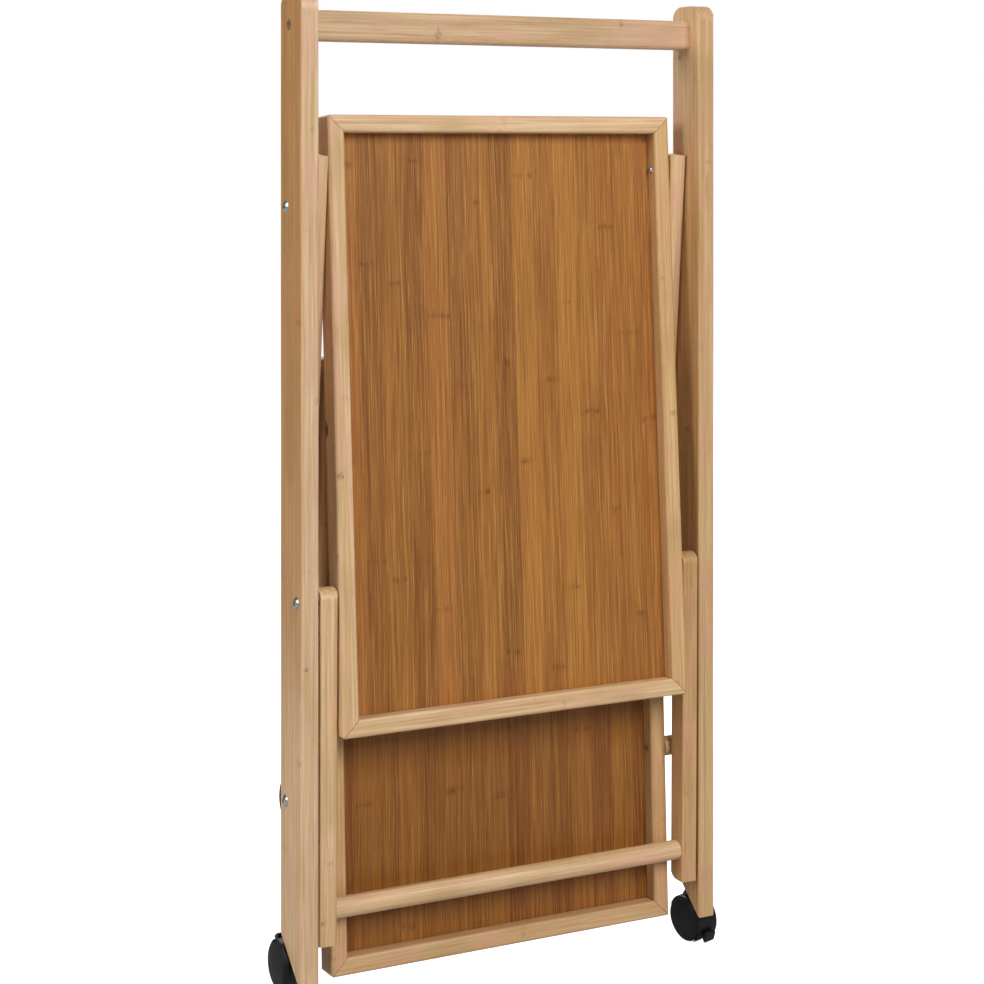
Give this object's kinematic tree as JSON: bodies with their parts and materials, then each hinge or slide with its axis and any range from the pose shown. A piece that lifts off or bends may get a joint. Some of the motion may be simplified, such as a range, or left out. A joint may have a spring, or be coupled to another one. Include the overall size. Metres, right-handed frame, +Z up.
{
  "type": "folding serving trolley",
  "caption": "Folding bamboo serving trolley, folded flat: two posts with a handle bar, hinged rear legs, trays and prop, swivel casters in front and wheels behind.",
  "frame": {"origin": "middle of the folded trolley's outline, on the floor under its lowest caster wheel", "axes": "+Z up along the folded posts, +Y to the back where the rear legs hang, X across from post to post"},
  "size_m": [0.484, 0.1266, 0.9867],
  "materials": {
    "bamboo_frame": "pale bamboo strips, clear satin lacquer",
    "tray_panels": "caramelised bamboo board, clear satin lacquer",
    "steel_fittings": "nickel plated steel",
    "rear_forks": "black coated sheet steel",
    "rear_wheels": "black nylon",
    "caster_wheels": "black nylon tread",
    "caster_hoods": "black moulded plastic",
    "caster_pedals": "dark grey moulded plastic",
    "washers": "black nylon"
  },
  "bodies": {
    "main_frame": {"left_post": "bamboo_frame", "right_post": "bamboo_frame", "handle_bar": "bamboo_frame", "handle_screws": "steel_fittings", "leg_pivot_bolts": "steel_fittings", "leg_pivot_washers": "washers", "tray_pivot_bolts": "steel_fittings", "tray_spacers": "bamboo_frame", "caster_left_stem": "steel_fittings", "caster_right_stem": "steel_fittings"},
    "rear_frame": {"rear_leg_left": "bamboo_frame", "rear_leg_right": "bamboo_frame", "rear_rail": "bamboo_frame", "leg_pivot_inserts": "steel_fittings", "upper_tray_bolts": "steel_fittings", "upper_tray_washers": "washers", "rear_fork_left": "rear_forks", "rear_fork_right": "rear_forks", "rear_fork_screws": "steel_fittings", "rear_axles": "steel_fittings"},
    "rear_wheel_left": {"rear_wheel_left": "rear_wheels"},
    "rear_wheel_right": {"rear_wheel_right": "rear_wheels"},
    "upper_tray": {"upper_tray_left_rail": "bamboo_frame", "upper_tray_right_rail": "bamboo_frame", "upper_tray_front_rail": "bamboo_frame", "upper_tray_back_rail": "bamboo_frame", "upper_tray_panel": "tray_panels", "upper_tray_nails": "steel_fittings"},
    "lower_tray": {"lower_tray_left_rail": "bamboo_frame", "lower_tray_right_rail": "bamboo_frame", "lower_tray_front_rail": "bamboo_frame", "lower_tray_back_rail": "bamboo_frame", "lower_tray_panel": "tray_panels", "lower_tray_nails": "steel_fittings", "tray_pivot_nuts": "steel_fittings"},
    "prop_pivot": {"prop_pivot_bolts": "steel_fittings", "prop_washers": "washers"},
    "prop_frame": {"prop_leg_left": "bamboo_frame", "prop_leg_right": "bamboo_frame", "prop_bar": "bamboo_frame", "prop_inserts": "steel_fittings"},
    "caster_left_swivel": {"caster_left_hood": "caster_hoods"},
    "caster_left_roll": {"caster_left_wheel_outer": "caster_wheels", "caster_left_wheel_inner": "caster_wheels", "caster_left_axle": "steel_fittings"},
    "caster_left_brake": {"caster_left_pedal": "caster_pedals"},
    "caster_right_swivel": {"caster_right_hood": "caster_hoods"},
    "caster_right_roll": {"caster_right_wheel_outer": "caster_wheels", "caster_right_wheel_inner": "caster_wheels", "caster_right_axle": "steel_fittings"},
    "caster_right_brake": {"caster_right_pedal": "caster_pedals"}
  },
  "joints": [
    {"name": "frame_fold", "type": "hinge", "parent": "main_frame", "child": "rear_frame", "pos_m": [-0.00199, -0.01471, 0.78066], "axis": [1, 0, 0], "range_deg": [0, 35.9]},
    {"name": "upper_tray_tilt", "type": "hinge", "parent": "rear_frame", "child": "upper_tray", "pos_m": [-0.00199, -0.01961, 0.81466], "axis": [1, 0, 0], "range_deg": [-84.8, 0]},
    {"name": "lower_tray_tilt", "type": "hinge", "parent": "main_frame", "child": "lower_tray", "pos_m": [-0.00199, -0.01341, 0.20566], "axis": [1, 0, 0], "range_deg": [-50.3, 0]},
    {"name": "prop_first_swing", "type": "hinge", "parent": "main_frame", "child": "prop_pivot", "pos_m": [-0.00199, -0.04171, 0.40166], "axis": [1, 0, 0], "range_deg": [-60.1, 0]},
    {"name": "prop_last_swing", "type": "hinge", "parent": "prop_pivot", "child": "prop_frame", "pos_m": [-0.00199, -0.04171, 0.40166], "axis": [-1, 0, 0], "range_deg": [0, 82.5]},
    {"name": "rear_wheel_left_spin", "type": "hinge", "parent": "rear_frame", "child": "rear_wheel_left", "pos_m": [-0.20599, 0.03834, 0.18803], "axis": [1, 0, 0], "continuous": true},
    {"name": "rear_wheel_right_spin", "type": "hinge", "parent": "rear_frame", "child": "rear_wheel_right", "pos_m": [0.20201, 0.03834, 0.18803], "axis": [1, 0, 0], "continuous": true},
    {"name": "caster_left_swivel", "type": "hinge", "parent": "main_frame", "child": "caster_left_swivel", "pos_m": [-0.22599, -0.02791, 0.05305], "axis": [0, -0.6428, 0.766], "range_deg": [-24, 219]},
    {"name": "caster_left_spin", "type": "hinge", "parent": "caster_left_swivel", "child": "caster_left_roll", "pos_m": [-0.22599, -0.00003, 0.04316], "axis": [-1, 0, 0], "continuous": true},
    {"name": "caster_left_pedal", "type": "hinge", "parent": "caster_left_swivel", "child": "caster_left_brake", "pos_m": [-0.22599, 0.01036, 0.05645], "axis": [-1, 0, 0], "range_deg": [-10, 0]},
    {"name": "caster_right_swivel", "type": "hinge", "parent": "main_frame", "child": "caster_right_swivel", "pos_m": [0.22201, -0.02791, 0.05305], "axis": [0, -0.6428, 0.766], "range_deg": [-48, 195]},
    {"name": "caster_right_spin", "type": "hinge", "parent": "caster_right_swivel", "child": "caster_right_roll", "pos_m": [0.22436, -0.02287, 0.02399], "axis": [0.9877, 0.1198, 0.1006], "continuous": true},
    {"name": "caster_right_pedal", "type": "hinge", "parent": "caster_right_swivel", "child": "caster_right_brake", "pos_m": [0.22694, -0.0376, 0.0162], "axis": [0.9877, 0.1198, 0.1006], "range_deg": [-10, 0]}
  ],
  "couplings": [
    {"joint": "upper_tray_tilt", "follows": "frame_fold", "ratio": -2.3593},
    {"joint": "lower_tray_tilt", "follows": "frame_fold", "ratio": -1.3969},
    {"joint": "prop_first_swing", "follows": "frame_fold", "ratio": -1.6713}
  ]
}
